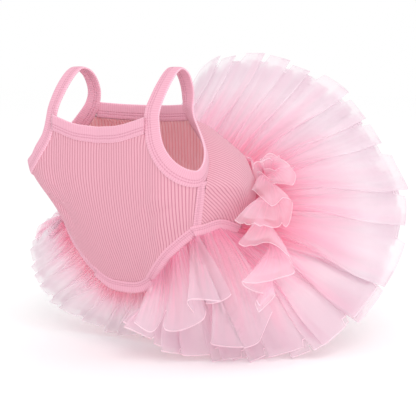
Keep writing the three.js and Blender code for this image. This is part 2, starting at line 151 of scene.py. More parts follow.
def table_curve(points, closed=False):
    """A smooth curve that passes entry i of a table at parameter i."""
    points = np.array(points, float)
    if closed:
        padded = np.concatenate([points[-1:], points, points[:2]])
        spans = len(points)
    else:
        padded = np.concatenate([[2 * points[0] - points[1]], points, [2 * points[-1] - points[-2]]])
        spans = len(points) - 1

    def curve(i):
        i = np.asarray(i, float)
        if closed:
            i = i % spans
        k = np.clip(np.floor(i).astype(int), 0, spans - 1)
        w = (i - k).reshape(i.shape + (1,) * (padded.ndim - 1))
        a, b, c, d = (padded[k + n] for n in range(4))
        m, n = (c - a) / 2, (d - b) / 2
        return b + m * w + (3 * (c - b) - 2 * m - n) * w**2 + (2 * (b - c) + m + n) * w**3

    return curve


def refine(grid, columns, rows):
    """The same smooth surface with more columns and rows."""
    wide = table_curve(grid)(np.linspace(0, len(grid) - 1, columns))
    tall = table_curve(wide.transpose(1, 0, 2))(np.linspace(0, grid.shape[1] - 1, rows))
    return tall.transpose(1, 0, 2)


def mirrored(p):
    """The point on the wearer's right that matches one on the left."""
    p = np.asarray(p, float)
    low = smooth_step((ASKEW["chest"] - p[..., 2]) / ASKEW["span"])
    width = ASKEW["top_width"] + (ASKEW["low_width"] - ASKEW["top_width"]) * low
    y = p[..., 1] - ASKEW["forward"] * (1 - low) * p[..., 0]
    return np.stack([-p[..., 0] * width, y, p[..., 2]], -1)


def both_halves(half):
    """A line or grid of the left half, with its match on the wearer's right before it."""
    half = np.asarray(half, float)
    return np.concatenate([mirrored(half[1:][::-1]), half])


def sampled(table, steps):
    return table_curve(table)(np.arange((len(table) - 1) * steps + 1) / steps)


def lengths_along(points):
    """How far along the line each of its points lies."""
    steps = np.linalg.norm(np.diff(points, axis=0), axis=-1)
    return np.concatenate([[0], np.cumsum(steps)])


def at_share(points, share):
    """The points that lie at these shares of the line's length."""
    lengths = lengths_along(points)
    wanted = share * lengths[-1]
    return np.stack([np.interp(wanted, lengths, points[:, n]) for n in range(3)], -1)


def grid_normals(grid):
    return unit(np.cross(np.gradient(grid, axis=0), np.gradient(grid, axis=1)))


# The armhole loop


def armhole_loop():
    """A tape's line is its edge at the seam; across points from there over its width."""
    table = np.array(ARMHOLE, float)
    centre = table_curve(table[:, :3], True)
    face = table_curve(table[:, 3:], True)
    i = np.arange(len(table) * ARMHOLE_STEPS) / ARMHOLE_STEPS
    half = 0.5 / ARMHOLE_STEPS
    along = unit(centre(i + half) - centre(i - half))
    across = unit(np.cross(face(i), along))
    return {
        "line": centre(i) - across * BINDING_WIDTH / 2,
        "across": across,
        "normals": np.cross(along, across),
        "seam": centre(i) - across * (BINDING_WIDTH / 2 + CORNER_GAP),
    }


ARMHOLE_BINDING = armhole_loop()


def armhole_seam(start, end):
    step = 1 if end > start else -1
    return ARMHOLE_BINDING["seam"][np.arange(start, end + step, step)]


# The panels


def front_half():
    neck = sampled(FRONT_NECK, NECK_STEPS)
    arm = armhole_seam(ARMHOLE_AT["front_neck"], ARMHOLE_AT["under_arm_front"])
    top = np.concatenate([neck, arm])
    bottom = sampled(BELLY_EDGE, BELLY_STEPS)
    share = top[:, 0] / top[-1, 0]
    end = at_share(bottom, share * (FRONT_TAPER + (1 - FRONT_TAPER) * share))
    outward = unit(np.stack([CHEST_SPREAD * share, -np.ones_like(share), 0 * share], -1))
    t = np.linspace(0, 1, FRONT_ROWS + 1)[None, :, None]
    crown = (CHEST_CROWN * (1 - share**3))[:, None, None]
    straight = top[:, None] * (1 - t) + end[:, None] * t
    return straight + outward[:, None] * crown * np.sin(math.pi * t)


FRONT_HALF = front_half()


def side_band():
    side = FRONT_HALF[-1]
    down = unit(side[-1] - side[0])
    rearward = np.array(SIDE_REARWARD)
    across = unit(rearward - down * rearward.dot(down))
    normal = np.cross(down, across)
    line = side + across * BAND_GAP - normal * KNIT_THICKNESS / 2
    ones = np.ones((len(side), 1))
    return {
        "line": line,
        "across": across * ones,
        "normals": normal * ones,
        "rear": side + across * (SIDE_BAND_WIDTH + BAND_GAP + CORNER_GAP),
    }


BAND = side_band()


def tucked(binding, first, last):
    """The same tape, with its two ends longer, so that they pass under their neighbours."""
    line = binding["line"]
    ends = unit(np.stack([line[0] - line[1], line[-1] - line[-2]])) * np.array([[first], [last]])
    line = np.concatenate([line[:1] + ends[:1], line[1:-1], line[-1:] + ends[1:]])
    return {**binding, "line": line}


SKIRT_SEAM = table_curve(both_halves([entry[0] for entry in SKIRT]))
SKIRT_HEM = table_curve([entry[2] for entry in SKIRT[:0:-1]] + [entry[1] for entry in SKIRT])


def skirt_seam(row):
    return SKIRT_SEAM(np.asarray(row, float) + LAST_ROW)


def back_half():
    neck = sampled(BACK_NECK, NECK_STEPS)
    arm = armhole_seam(ARMHOLE_AT["back_neck"], ARMHOLE_AT["under_arm_back"])
    start = np.concatenate([neck, arm, BAND["rear"][::2]])
    part = lengths_along(start)
    part = part / part[-1]
    corner = start[-1]
    end = skirt_seam(BACK_CORNER_ROW)
    lower = table_curve([corner, LEG_BACK, end])
    t = np.linspace(0, 1, BACK_ROWS + 1)
    down = t[None, :, None]
    point = start[:, None] * (1 - down) + skirt_seam(part * BACK_CORNER_ROW)[:, None] * down
    near_leg = (np.maximum(0, 1 - (1 - part) / LEG_EDGE_SHARE) ** 2)[:, None, None]
    outward = unit(np.stack([point[..., 0], 0 * point[..., 0], point[..., 2] - TORSO_AXIS_HEIGHT], -1))
    bend = lower(2 * t) - (corner + (end - corner) * t[:, None])
    crown = BACK_CROWN * np.sin(math.pi * t)[None, :, None]
    return point + outward * crown * (1 - near_leg) + bend[None] * near_leg


BACK_HALF = back_half()


def binding_below(points):
    """A tape that is sewn below an edge of the body."""
    along = unit(np.gradient(points, axis=0))
    outward = np.stack([points[:, 0], points[:, 1] - BODY_MIDDLE, 0 * points[:, 0]], -1)
    across = unit(np.cross(outward, along))
    normals = unit(np.cross(along, across))
    line = points + across * CORNER_GAP - normals * KNIT_THICKNESS / 2
    return {"line": line, "across": across, "normals": normals}


def neck_binding(table):
    line = both_halves(sampled(table, NECK_STEPS))
    facing = np.sign(table[0][1])
    if facing > 0:
        line = line[::-1]
    ones = np.ones((len(line), 1))
    binding = {
        "line": line + np.array([0, 0, SEAM_GAP]),
        "across": np.array([0, 0, 1.0]) * ones,
        "normals": np.array([0, facing, 0]) * ones,
    }
    return tucked(binding, TUCK, TUCK)


FRONT_BOTTOM = FRONT_HALF[:, -1]
LEG_CORNER = int(np.argmax(FRONT_BOTTOM[:, 0] > LEG_CURVE_START))
LEG_EDGE = np.concatenate([FRONT_BOTTOM[LEG_CORNER:], BACK_HALF[-1][:BACK_ROWS]])[::-1]
BELLY_LINE = both_halves(FRONT_BOTTOM[: LEG_CORNER + 1])[::-1]
LEG_BINDING = binding_below(LEG_EDGE)
LEG_LINE = LEG_BINDING["line"] + LEG_BINDING["across"] * LEG_BINDING_WIDTH
BELLY_BINDING = binding_below(BELLY_LINE)
BELLY_EDGE_BELOW = BELLY_BINDING["line"] + BELLY_BINDING["across"] * LEG_BINDING_WIDTH
RIGHT_LINE = mirrored(np.concatenate([LEG_LINE, BELLY_EDGE_BELOW[1:]]))


def sewn_edge(row):
    """Where the tulle is sewn on: past the leg row, along the leg binding's lower edge.

    On the wearer's right it runs on along the belly's edge."""
    row = np.asarray(row, float)
    beyond = np.clip((np.abs(row) - LEG_ROW) / (LAST_ROW - LEG_ROW), 0, 1)
    leg = np.where((row < 0)[..., None], at_share(RIGHT_LINE, beyond), at_share(LEG_LINE, beyond))
    return np.where((beyond > 0)[..., None], leg, skirt_seam(row))


def skirt_base(row, share):
    """A point of the skirt before it is pleated, at a part of its length."""
    share = np.asarray(share, float)[..., None]
    return sewn_edge(row) * (1 - share) + SKIRT_HEM(np.asarray(row, float) + LAST_ROW) * share


def skirt_normal(row, share):
    """The way the skirt's upper face looks."""
    across = skirt_base(row + ROW_STEP, share) - skirt_base(row - ROW_STEP, share)
    return unit(np.cross(across, skirt_base(row, 1) - skirt_base(row, 0)))


def over_skirt(row, share, height):
    return skirt_base(row, share) + skirt_normal(row, share) * height[..., None]


def uv_grid(u, v):
    return np.stack(np.meshgrid(u, v, indexing="ij"), -1)


# Meshes

PROFILE_POINTS = 20
# How square the tape's edges are across its width and through its thickness
PROFILE_EDGES = (0.55, 0.7)
# The tape's thickness varies along it: by how much, and at which two rates
TAPE_WAVE = (0.05, 2.1, 0.7)
TAPE_STEPS = 4


def new_mesh(name, points, faces, uvs, materials, slots=None, turn=0.0):
    """A smooth piece; a closed tape's turn is its length, where u starts again."""
    mesh = bpy.data.meshes.new(name)
    mesh.from_pydata((np.asarray(points) * MM).tolist(), [], faces)
    layer = mesh.uv_layers.new(name="UVMap")
    loops = np.empty(len(mesh.loops), np.int32)
    mesh.loops.foreach_get("vertex_index", loops)
    corners = np.asarray(uvs, np.float32)[loops]
    if turn:
        last = corners[-len(faces[0]) * PROFILE_POINTS :]
        last[last[:, 0] < turn / 2, 0] += turn
    layer.data.foreach_set("uv", corners.ravel())
    for material in materials:
        mesh.materials.append(material)
    if slots is not None:
        mesh.polygons.foreach_set("material_index", np.asarray(slots, np.int32))
    mesh.polygons.foreach_set("use_smooth", [True] * len(mesh.polygons))
    mesh.update()
    piece = bpy.data.objects.new(name, mesh)
    bpy.context.scene.collection.objects.link(piece)
    return piece


def grid_faces(columns, rows, start=0, flip=False):
    i, j = np.meshgrid(np.arange(columns - 1), np.arange(rows - 1), indexing="ij")
    a = start + i * rows + j
    b = a + rows
    corners = [a, b, b + 1, a + 1] if flip else [a, a + 1, b + 1, b]
    return np.stack(corners, -1).reshape(-1, 4)


def shell(name, grid, uv, inner_uv, thickness, materials):
    """A thin closed shell: its outer face is the grid, its inner face takes the second material."""
    columns, rows = grid.shape[:2]
    inner = grid - grid_normals(grid) * thickness
    points = np.concatenate([grid.reshape(-1, 3), inner.reshape(-1, 3)])
    uvs = np.concatenate([uv.reshape(-1, 2), inner_uv.reshape(-1, 2)])
    total = columns * rows
    outer_faces = grid_faces(columns, rows)
    inner_faces = grid_faces(columns, rows, start=total, flip=True)
    ring = (
        [(i, 0) for i in range(columns)]
        + [(columns - 1, j) for j in range(1, rows)]
        + [(i, rows - 1) for i in range(columns - 2, -1, -1)]
        + [(0, j) for j in range(rows - 2, 0, -1)]
    )
    ids = np.array([i * rows + j for i, j in ring])
    after = np.roll(ids, -1)
    sides = np.stack([ids, after, after + total, ids + total], -1)
    faces = np.concatenate([outer_faces, inner_faces, sides])
    slots = np.zeros(len(faces))
    slots[len(outer_faces) : len(outer_faces) + len(inner_faces)] = 1
    return new_mesh(name, points, faces.tolist(), uvs, materials, slots)


def tape_profile(sizes):
    """Cross-section of a folded tape: a flat tube with soft edges."""
    width, thickness, overlap = sizes
    angle = np.arange(PROFILE_POINTS) * 2 * math.pi / PROFILE_POINTS
    c, s = np.cos(angle), np.sin(angle)
    across, through = PROFILE_EDGES
    middle = (width - overlap) / 2
    offset = middle + (width + overlap) / 2 * np.sign(c) * np.abs(c) ** across
    depth = thickness / 2 * np.sign(s) * np.abs(s) ** through
    return offset, depth


def tape_piece(name, binding, sizes, closed, material):
    """A tape along the binding's line; u runs along it in millimetres and v across it."""
    line, across, normals = binding["line"], binding["across"], binding["normals"]
    last = len(line) if closed else len(line) - 1
    i = np.linspace(0, last, last * TAPE_STEPS + (0 if closed else 1), endpoint=not closed)
    centre = table_curve(line, closed)(i)
    side = unit(table_curve(across, closed)(i))
    face = unit(table_curve(normals, closed)(i))
    offset, depth = tape_profile(sizes)
    most, first, second = TAPE_WAVE
    pull = 1 - most * np.sin(i * first) * np.sin(i * second + 1)
    height = depth[None, :] * pull[:, None]
    points = centre[:, None] + side[:, None] * offset[None, :, None] + face[:, None] * height[..., None]
    count, around = points.shape[:2]
    walk = np.concatenate([centre, centre[:1]]) if closed else centre
    along = lengths_along(walk)
    share = (offset - offset.min()) / (offset.max() - offset.min())
    uv = uv_grid(along[:count], share)
    spans = count if closed else count - 1
    faces = []
    for a in range(spans):
        b = (a + 1) % count
        for k in range(around):
            n = (k + 1) % around
            faces.append((a * around + k, a * around + n, b * around + n, b * around + k))
    if not closed:
        faces.append(tuple(range(around))[::-1])
        faces.append(tuple((count - 1) * around + k for k in range(around)))
    turn = float(along[-1]) if closed else 0.0
    return new_mesh(name, points.reshape(-1, 3), faces, uv.reshape(-1, 2), [material], turn=turn)


# Materials

# Rib knit, in millimetres: its pitch, how rounded the ribs are, and where a ridge's colour starts; the
# darker groove colour is painted shade in the recesses between the ribs
RIB_PITCH = 2.4
RIB_ROUNDNESS = 0.6
RIDGE_STOP = 0.55
KNIT_STITCH = {"pitch": 1.5, "height": 0.12}
RIB_BUMP = 0.00028
# Tapes: two rows of stitches at these places across, fine wales with painted shade in their valleys, and
# painted highlights on the rims
STITCH_ROWS = (0.26, 0.42)
STITCH = {"pitch": 2.4, "sharpness": 18, "darkness": 0.75}
WALE = {"pitch": 1.7, "depth": 0.3}
RIM_HIGHLIGHT = {"from": 0.44, "sharpness": 16}
FACE_STOP = 0.3
TAPE_BUMP = 0.0003
# Net: streaks darker or paler than the cloth, where the noise is between these values
STREAKS_PER_PLEAT = 9
STREAK_WANDER = 0.8
DEEP_STREAKS = (0.46, 0.66)
PALE_STREAKS = (0.34, 0.46)
PALE_SHARE = 0.8
STREAK_FADE = 1.1
STREAK_COVER = 0.25
LIGHT_THROUGH = 0.5
SPECULAR = 0.2
SHEEN_ROUGHNESS = 0.5
# The colour sockets of a Mix node
MIX_FIRST = 6
MIX_SECOND = 7
MIX_OUT = 2
BLACK = (0, 0, 0, 1)
WHITE = (1, 1, 1, 1)


def colour(r, g, b):
    """A colour of a display, as the shader's linear light."""

    def linear(value):
        c = value / 255
        return c / 12.92 if c <= 0.04045 else ((c + 0.055) / 1.055) ** 2.4

    return (linear(r), linear(g), linear(b), 1)


def new_material(name, base, roughness, sheen=0.0):
    material = bpy.data.materials.new(name)
    material.use_nodes = True
    shader = material.node_tree.nodes["Principled BSDF"]
    shader.inputs["Base Color"].default_value = base
    shader.inputs["Roughness"].default_value = roughness
    shader.inputs["Specular IOR Level"].default_value = SPECULAR
    shader.inputs["Sheen Weight"].default_value = sheen
    shader.inputs["Sheen Roughness"].default_value = SHEEN_ROUGHNESS
    return material, material.node_tree, shader


def math_node(tree, operation, a, b=None):
    node = tree.nodes.new("ShaderNodeMath")
    node.operation = operation
    for socket, value in zip(node.inputs, (a, b)):
        if value is None:
            continue
        if isinstance(value, (int, float)):
            socket.default_value = value
        else:
            tree.links.new(value, socket)
    return node.outputs[0]


def split_uv(tree):
    coordinates = tree.nodes.new("ShaderNodeUVMap")
    coordinates.uv_map = "UVMap"
    split = tree.nodes.new("ShaderNodeSeparateXYZ")
    tree.links.new(coordinates.outputs[0], split.inputs[0])
    return split.outputs[0], split.outputs[1]


def ramp_node(tree, value, stops):
    node = tree.nodes.new("ShaderNodeValToRGB")
    tree.links.new(value, node.inputs[0])
    elements = node.color_ramp.elements
    while len(elements) < len(stops):
        elements.new(0.5)
    for element, (place, shade) in zip(elements, stops):
        element.position = place
        element.color = shade
    return node.outputs[0]


def bump_node(tree, height, distance, shader):
    node = tree.nodes.new("ShaderNodeBump")
    node.inputs["Distance"].default_value = distance
    node.inputs["Strength"].default_value = 1
    tree.links.new(height, node.inputs["Height"])
    tree.links.new(node.outputs[0], shader.inputs["Normal"])


def unit_wave(tree, value, pitch):
    turned = math_node(tree, "COSINE", math_node(tree, "MULTIPLY", value, 2 * math.pi / pitch))
    return math_node(tree, "ADD", math_node(tree, "MULTIPLY", turned, 0.5), 0.5)


def rib_material(name, ridge, groove_shade):
    """Rib knit: rounded ribs with narrow grooves darkened by painted shade; u is across the ribs in mm.
    """
    material, tree, shader = new_material(name, ridge, roughness=0.85, sheen=0.15)
    u, v = split_uv(tree)
    rib = math_node(tree, "POWER", unit_wave(tree, u, RIB_PITCH), RIB_ROUNDNESS)
    stitch = math_node(tree, "MULTIPLY", unit_wave(tree, v, KNIT_STITCH["pitch"]), KNIT_STITCH["height"])
    shade = ramp_node(tree, rib, [(0.0, groove_shade), (RIDGE_STOP, ridge), (1.0, ridge)])
    tree.links.new(shade, shader.inputs["Base Color"])
    bump_node(tree, math_node(tree, "ADD", rib, stitch), RIB_BUMP, shader)
    return material


def binding_material(name, rim_highlight, face, line):
    """Smooth binding: rows of stitches near the seam, fine crosswise wales with painted shade in their
    valleys, and painted highlights on the rims.
    """
    material, tree, shader = new_material(name, face, roughness=0.8, sheen=0.15)
    u, v = split_uv(tree)
    rows = None
    for centre in STITCH_ROWS:
        apart = math_node(tree, "ABSOLUTE", math_node(tree, "SUBTRACT", v, centre))
        row = math_node(tree, "SUBTRACT", 1, math_node(tree, "MULTIPLY", apart, STITCH["sharpness"]))
        row = math_node(tree, "MAXIMUM", row, 0)
        rows = row if rows is None else math_node(tree, "MAXIMUM", rows, row)
    # Towards both rims the colour turns to the rim colour: a painted highlight on the tape's rounded
    # edges
    away = math_node(tree, "ABSOLUTE", math_node(tree, "SUBTRACT", v, 0.5))
    edge = math_node(tree, "MULTIPLY", math_node(tree, "SUBTRACT", away, RIM_HIGHLIGHT["from"]), RIM_HIGHLIGHT["sharpness"])
    edge = math_node(tree, "MINIMUM", math_node(tree, "MAXIMUM", edge, 0), 1)
    dash = unit_wave(tree, u, STITCH["pitch"])
    dash = math_node(tree, "ADD", math_node(tree, "MULTIPLY", dash, 0.5), 0.5)
    wale = unit_wave(tree, u, WALE["pitch"])
    marks = math_node(tree, "MULTIPLY", rows, dash)
    dark = math_node(tree, "MULTIPLY", marks, STITCH["darkness"])
    # The wale valleys turn partly to the stitches' dark colour: painted shade
    dark = math_node(tree, "MAXIMUM", dark, math_node(tree, "MULTIPLY", wale, WALE["depth"]))
    dark = math_node(tree, "ADD", math_node(tree, "MULTIPLY", dark, 1 - FACE_STOP), FACE_STOP)
    dark = math_node(tree, "SUBTRACT", dark, math_node(tree, "MULTIPLY", edge, FACE_STOP))
    shade = ramp_node(tree, dark, [(0.0, rim_highlight), (FACE_STOP, face), (1.0, line)])
    tree.links.new(shade, shader.inputs["Base Color"])
    height = math_node(tree, "SUBTRACT", math_node(tree, "MULTIPLY", wale, -WALE["depth"]), marks)
    bump_node(tree, height, TAPE_BUMP, shader)
    return material


def mix_node(tree, amount, first, second):
    node = tree.nodes.new("ShaderNodeMix")
    node.data_type = "RGBA"
    tree.links.new(amount, node.inputs[0])
    tree.links.new(first, node.inputs[MIX_FIRST])
    node.inputs[MIX_SECOND].default_value = second
    return node.outputs[MIX_OUT]


def net_material(name, stops, alphas, streak, deep):
    """Soft net that lets light through: v runs down its length, u counts pleats.

    Its colour and cover change from seam to hem. Fine streaks of the deep colour run down
    it, stronger towards the seam, with streaks of the hem's colour between them."""
    material, tree, shader = new_material(name, stops[-1][1], roughness=0.8, sheen=0.0)
    shader.inputs["Specular IOR Level"].default_value = 0.0
    u, v = split_uv(tree)
    place = tree.nodes.new("ShaderNodeCombineXYZ")
    tree.links.new(math_node(tree, "MULTIPLY", u, STREAKS_PER_PLEAT), place.inputs[0])
    tree.links.new(math_node(tree, "MULTIPLY", v, STREAK_WANDER), place.inputs[1])
    noise = tree.nodes.new("ShaderNodeTexNoise")
    noise.inputs["Scale"].default_value = 1.0
    noise.inputs["Detail"].default_value = 2.0
    tree.links.new(place.outputs[0], noise.inputs["Vector"])
    line = ramp_node(tree, noise.outputs[0], list(zip(DEEP_STREAKS, (BLACK, WHITE))))
    pale = ramp_node(tree, noise.outputs[0], list(zip(PALE_STREAKS, (WHITE, BLACK))))
    fade = math_node(tree, "SUBTRACT", STREAK_FADE, v)
    amount = math_node(tree, "MULTIPLY", math_node(tree, "MULTIPLY", line, fade), streak)
    shade = mix_node(tree, amount, ramp_node(tree, v, stops), deep)
    pale = math_node(tree, "MULTIPLY", pale, streak * PALE_SHARE)
    tinted = mix_node(tree, pale, shade, stops[-1][1])
    tree.links.new(tinted, shader.inputs["Base Color"])
    through = tree.nodes.new("ShaderNodeBsdfTranslucent")
    tree.links.new(tinted, through.inputs["Color"])
    cloth = tree.nodes.new("ShaderNodeMixShader")
    cloth.inputs[0].default_value = LIGHT_THROUGH
    tree.links.new(shader.outputs[0], cloth.inputs[1])
    tree.links.new(through.outputs[0], cloth.inputs[2])
    first, last = alphas
    cover = math_node(tree, "ADD", math_node(tree, "MULTIPLY", v, last - first), first)
    cover = math_node(tree, "ADD", cover, math_node(tree, "MULTIPLY", amount, STREAK_COVER))
    clear = tree.nodes.new("ShaderNodeBsdfTransparent")
    blend = tree.nodes.new("ShaderNodeMixShader")
    tree.links.new(cover, blend.inputs[0])
    tree.links.new(clear.outputs[0], blend.inputs[1])
    tree.links.new(cloth.outputs[0], blend.inputs[2])
    tree.links.new(blend.outputs[0], tree.nodes["Material Output"].inputs[0])
    return material


def flat_net(name, shade, alpha):
    """The doubled net of a hem: one colour and one cover."""
    return net_material(name, [(0.0, shade), (1.0, shade)], (alpha, alpha), 0.0, shade)


# Each rib knit's second colour is painted shade in its grooves
rib = rib_material("rib_knit", colour(225, 165, 180), colour(192, 114, 135))
# The inner face: its salmon tone is the cloth's own, but it is set much lighter than the outer face as
# painted light in the shaded inside
lit_rib_inside = rib_material("rib_knit_inside_lit", colour(255, 211, 214), colour(244, 166, 172))
# Binding colours: a painted highlight on the rims, the tape's face, and the stitches' dark colour, which
# also gives painted shade in the wale valleys
smooth_knit = binding_material(
    "smooth_binding", colour(250, 204, 219), colour(232, 174, 192), colour(198, 118, 143)
)
tulle = net_material(
    "tulle",
    [
        (0.0, colour(255, 158, 190)), (0.4, colour(255, 230, 240)),
        (0.75, colour(255, 250, 253)), (0.93, colour(250, 241, 246)), (1.0, colour(243, 229, 236)),
    ],
    (0.5, 0.5), 0.8, colour(255, 200, 220),
)
tulle_edge = flat_net("tulle_hem", colour(240, 226, 233), 0.85)
# The left leg ruffle's net: darker than the tulle from its middle to the hem, partly its thicker net and
# partly painted shade on the low ruffle
shaded_ruffle_net = net_material(
    "shaded_ruffle_net",
    [
        (0.0, colour(254, 197, 219)), (0.45, colour(254, 234, 242)),
        (0.75, colour(247, 230, 238)), (1.0, colour(242, 223, 232)),
    ],
    (0.55, 0.5), 0.85, colour(250, 184, 208),
)
# The net of the ruffle on the wearer's right: paler near its seam than the tulle, with fainter streaks,
# as painted light shining through it from behind
backlit_far_net = net_material(
    "backlit_far_net",
    [
        (0.0, colour(255, 188, 210)), (0.4, colour(255, 236, 244)),
        (0.75, colour(253, 247, 250)), (1.0, colour(243, 231, 237)),
    ],
    (0.5, 0.5), 0.35, colour(255, 218, 232),
)
ruffle_edge = flat_net("ruffle_hem", colour(254, 233, 241), 0.8)
# The frill's net: its own pink, set lighter near the seam than the tulle as painted light against the
# shade between its overlapping layers
lit_frill_net = net_material(
    "lit_frill_net",
    [(0.0, colour(255, 200, 218)), (0.6, colour(255, 220, 233)), (1.0, colour(255, 233, 242))],
    (0.45, 0.38), 0.8, colour(254, 196, 218),
)
frill_edge = flat_net("frill_hem", colour(255, 238, 245), 0.7)


def finish_piece(piece, node):
    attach(piece, "root")
    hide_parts(node)


# Bodice

# Columns and rows of each panel, and the row whose ribs are evenly spaced
FRONT_GRID = (150, 110)
BACK_GRID = (170, 100)
EVEN_ROW = 45
SHELL_THICKNESS = 1.2
INSIDE_ACROSS = (0.79, 0.62, 0)
SPINE = (0, 1, -0.72)
SPINE_AXIS = (0, 30, -125)
SPINE_RADIUS = 98
# A crease is shallow at its ends; creases and softening fade out over a margin of the panel
CREASE_END = 0.08
CREASE_MARGIN = 0.04
SOFTEN_MARGINS = (0.12, 0.08)
SOFTEN_REACH = 14
# Creases: column share, row share, to column share, row share, width, depth
FRONT_CREASES = (
    (0.10, 0.45, 0.30, 0.72, 0.035, -1.2),
    (0.16, 0.35, 0.36, 0.60, 0.030, 0.8),
    (0.88, 0.42, 0.70, 0.70, 0.035, -1.3),
    (0.80, 0.30, 0.66, 0.52, 0.030, 0.7),
    (0.46, 0.70, 0.50, 0.95, 0.030, -0.7),
    (0.30, 0.05, 0.34, 0.30, 0.030, -0.6),
)
BACK_CREASES = (
    (0.30, 0.20, 0.34, 0.75, 0.030, -1.5),
    (0.72, 0.15, 0.68, 0.70, 0.030, -1.4),
    (0.84, 0.30, 0.74, 0.85, 0.035, 1.2),
    (0.18, 0.30, 0.28, 0.85, 0.035, 1.3),
    (0.50, 0.55, 0.52, 0.95, 0.025, -1.2),
    (0.58, 0.65, 0.60, 0.97, 0.018, -1.0),
    (0.42, 0.62, 0.43, 0.97, 0.018, -1.1),
    (0.90, 0.55, 0.88, 0.95, 0.020, -1.0),
    (0.10, 0.55, 0.12, 0.95, 0.020, -1.1),
)


def panel_uv(grid):
    """u counts millimetres across the columns at one row, v millimetres down."""
    u = lengths_along(grid[:, EVEN_ROW])
    v = lengths_along(grid[len(grid) // 2])
    return uv_grid(u - u.mean(), v)


def back_uv(grid):
    """The back panel's ribs run beside the spine: u turns round it, v runs along it."""
    along = unit(np.array(SPINE))
    up = np.array([0, -along[2], along[1]])
    offset = grid - np.array(SPINE_AXIS)
    u = SPINE_RADIUS * np.arctan2(grid[..., 0], offset @ up)
    return np.stack([u, offset @ along], -1)


def upright_uv(grid):
    """Seen through the armhole, the ribs of the inner face hang straight down."""
    u = grid @ np.array(INSIDE_ACROSS)
    return np.stack([u, -grid[..., 2]], -1)


def shares(grid):
    """How far across and how far down the panel each point of its grid is."""
    columns, rows = grid.shape[:2]
    return np.meshgrid(np.linspace(0, 1, columns), np.linspace(0, 1, rows), indexing="ij")


def crease(grid, creases):
    """Presses soft troughs and ridges into a panel."""
    x, y = shares(grid)
    normals = grid_normals(grid)
    for x0, y0, x1, y1, width, depth in creases:
        dx, dy = x1 - x0, y1 - y0
        t = np.clip(((x - x0) * dx + (y - y0) * dy) / (dx * dx + dy * dy), 0, 1)
        away = np.hypot(x - x0 - t * dx, y - y0 - t * dy)
        ends = np.sin(math.pi * (CREASE_END + (1 - 2 * CREASE_END) * t))
        edge = smooth_step(np.minimum(np.minimum(x, 1 - x), np.minimum(y, 1 - y)) / CREASE_MARGIN)
        grid = grid + normals * (depth * ends * edge * np.exp(-((away / width) ** 2)))[..., None]
    return grid


def soften(grid):
    """Smooths a panel across its columns, but not at its edges."""
    reach = np.arange(-SOFTEN_REACH, SOFTEN_REACH + 1)
    weights = np.exp(-((reach / (SOFTEN_REACH / 2)) ** 2))
    padded = np.concatenate([grid[:1]] * SOFTEN_REACH + [grid] + [grid[-1:]] * SOFTEN_REACH)
    smooth = sum(weight * padded[k : k + len(grid)] for k, weight in enumerate(weights))
    smooth = smooth / weights.sum()
    x, y = shares(grid)
    across, down = SOFTEN_MARGINS
    middle = smooth_step(np.minimum(x, 1 - x) / across) * smooth_step(np.minimum(y, 1 - y) / down)
    return grid + (smooth - grid) * middle[..., None]


def panel(node, grid, uv, inner_uv):
    piece = shell(f"{node}_cloth", grid, uv, inner_uv, SHELL_THICKNESS, [rib, lit_rib_inside])
    finish_piece(piece, node)
    return piece


front_grid = refine(both_halves(FRONT_HALF)[::-1], *FRONT_GRID)
front_grid = crease(soften(front_grid), FRONT_CREASES)
front_uv = panel_uv(front_grid)
front = panel("front_panel", front_grid, front_uv, front_uv)

back_grid = refine(both_halves(BACK_HALF), *BACK_GRID)
back_grid = crease(back_grid, BACK_CREASES)
back = panel("back_panel", back_grid, back_uv(back_grid), upright_uv(back_grid))


def mirrored_binding(binding):
    """The same binding on the wearer's right, its face still outward."""
    line = mirrored(binding["line"])
    far = mirrored(binding["line"] + binding["across"])
    out = mirrored(binding["line"] + binding["normals"])
    return {"line": line[::-1], "across": (far - line)[::-1], "normals": (out - line)[::-1]}


TAPE_OVERLAP = 1.2
BAND_OVERLAP = 1.0
BAND_EXTRA = 1.5
# Width, thickness, and how far the tape reaches over its seam
BINDING_SIZES = (BINDING_WIDTH, BINDING_THICKNESS, TAPE_OVERLAP)
LEG_SIZES = (LEG_BINDING_WIDTH, BINDING_THICKNESS, TAPE_OVERLAP)
BAND_SIZES = (SIDE_BAND_WIDTH + BAND_EXTRA, SIDE_BAND_THICKNESS, BAND_OVERLAP)


def bind(node, binding, sizes=BINDING_SIZES, closed=False):
    """A tape of these sizes along the binding's line, in place of the part's own piece."""
    piece = tape_piece(f"{node}_cloth", binding, sizes, closed, smooth_knit)
    finish_piece(piece, node)


def same(binding):
    return binding


bind("neck_binding_front", neck_binding(FRONT_NECK))
bind("neck_binding_back", neck_binding(BACK_NECK))
bind("belly_binding", tucked(BELLY_BINDING, BELLY_TUCK, BELLY_TUCK), LEG_SIZES)
for side, turn in (("left", same), ("right", mirrored_binding)):
    bind(f"armhole_binding_{side}", turn(ARMHOLE_BINDING), closed=True)
    bind(f"leg_binding_{side}", turn(tucked(LEG_BINDING, *LEG_TUCKS)), LEG_SIZES)
    bind(f"side_band_{side}", turn(tucked(BAND, TUCK, TUCK)), BAND_SIZES)

# Tulle

# One pleat at the hem, from its start to the next one's: part of its width, and height
KNIFE_PLEAT = (
    (0.00, -0.60),
    (0.35, 0.00),
    (0.75, 0.50),
    (1.08, 0.90),
    (1.12, 0.85),
    (1.11, 0.65),
    (1.00, 0.10),
    (0.86, -0.60),
    (0.83, -0.80),
    (0.88, -0.80),
    (1.00, -0.70),
)
PLEAT_STEPS = 48
PLEAT_UNEVEN = {"width": 0.3, "depth": 0.3, "length": 0.5}
PLEAT_RATES = {"width": 2.3, "depth": 1.7, "length": 3.9}
SEED_RATE = 2.7
PLEAT_OPENING = 1.1
FOLDED_BY = 1.15
